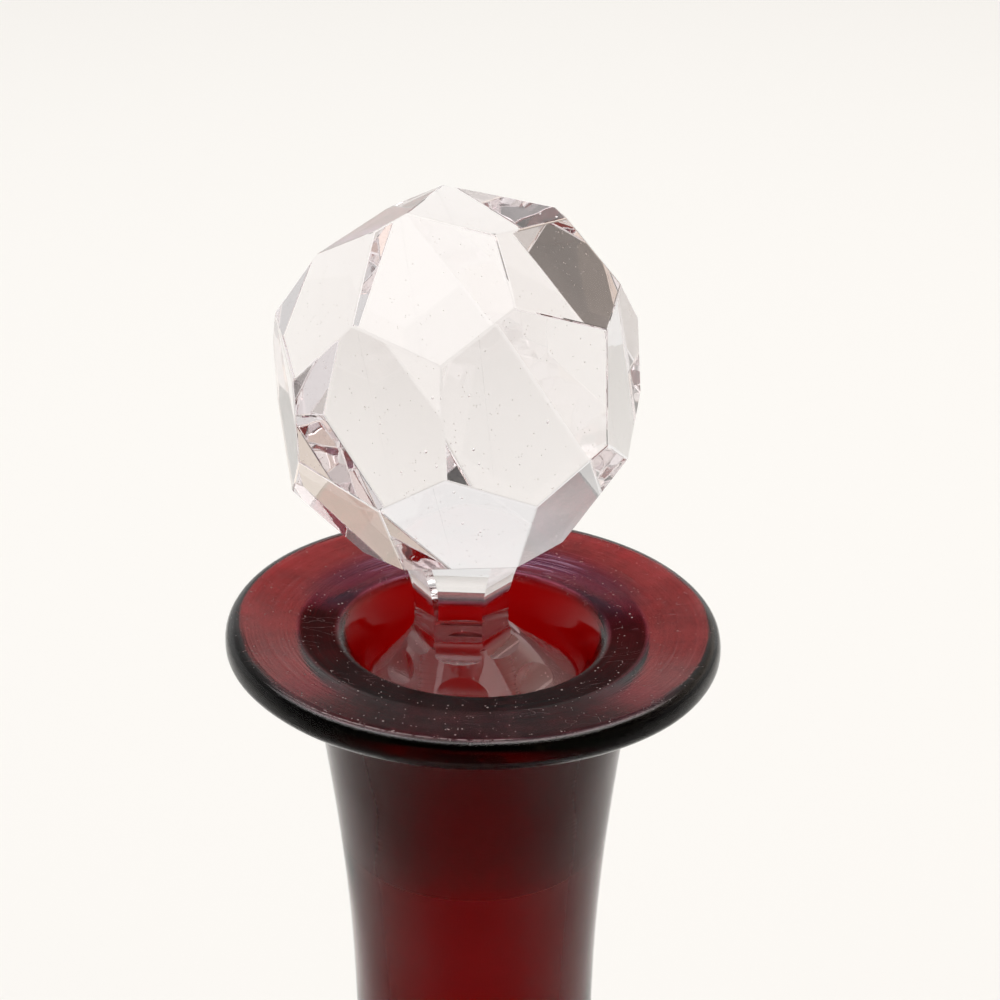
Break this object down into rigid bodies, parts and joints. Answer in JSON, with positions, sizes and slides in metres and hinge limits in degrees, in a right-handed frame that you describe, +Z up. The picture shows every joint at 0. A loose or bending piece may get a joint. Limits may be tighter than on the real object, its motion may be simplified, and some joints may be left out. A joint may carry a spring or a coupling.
{
  "type": "decanter",
  "caption": "Ruby glass decanter with a wide flat lip, a tapering neck and a globe body, closed by a clear cut-glass ball stopper on a ground plug.",
  "frame": {"origin": "centre of the foot ring, on the surface that the decanter stands on", "axes": "+Z up along the neck, -Y towards the viewer, +X to the viewer's right"},
  "size_m": [0.122, 0.122, 0.2948],
  "materials": {
    "ruby_glass": "polished ruby glass, worn on the top of the lip and ground matt in the seat",
    "clear_glass": "cut and polished clear lead glass, ground matt on the plug"
  },
  "bodies": {
    "bottle": {"bottle": "ruby_glass"},
    "stopper": {"stopper": "clear_glass"}
  },
  "joints": [
    {"name": "stopper_lift", "type": "slide", "parent": "bottle", "child": "stopper", "axis": [0, 0, 1], "range_m": [0, 0.06]}
  ]
}
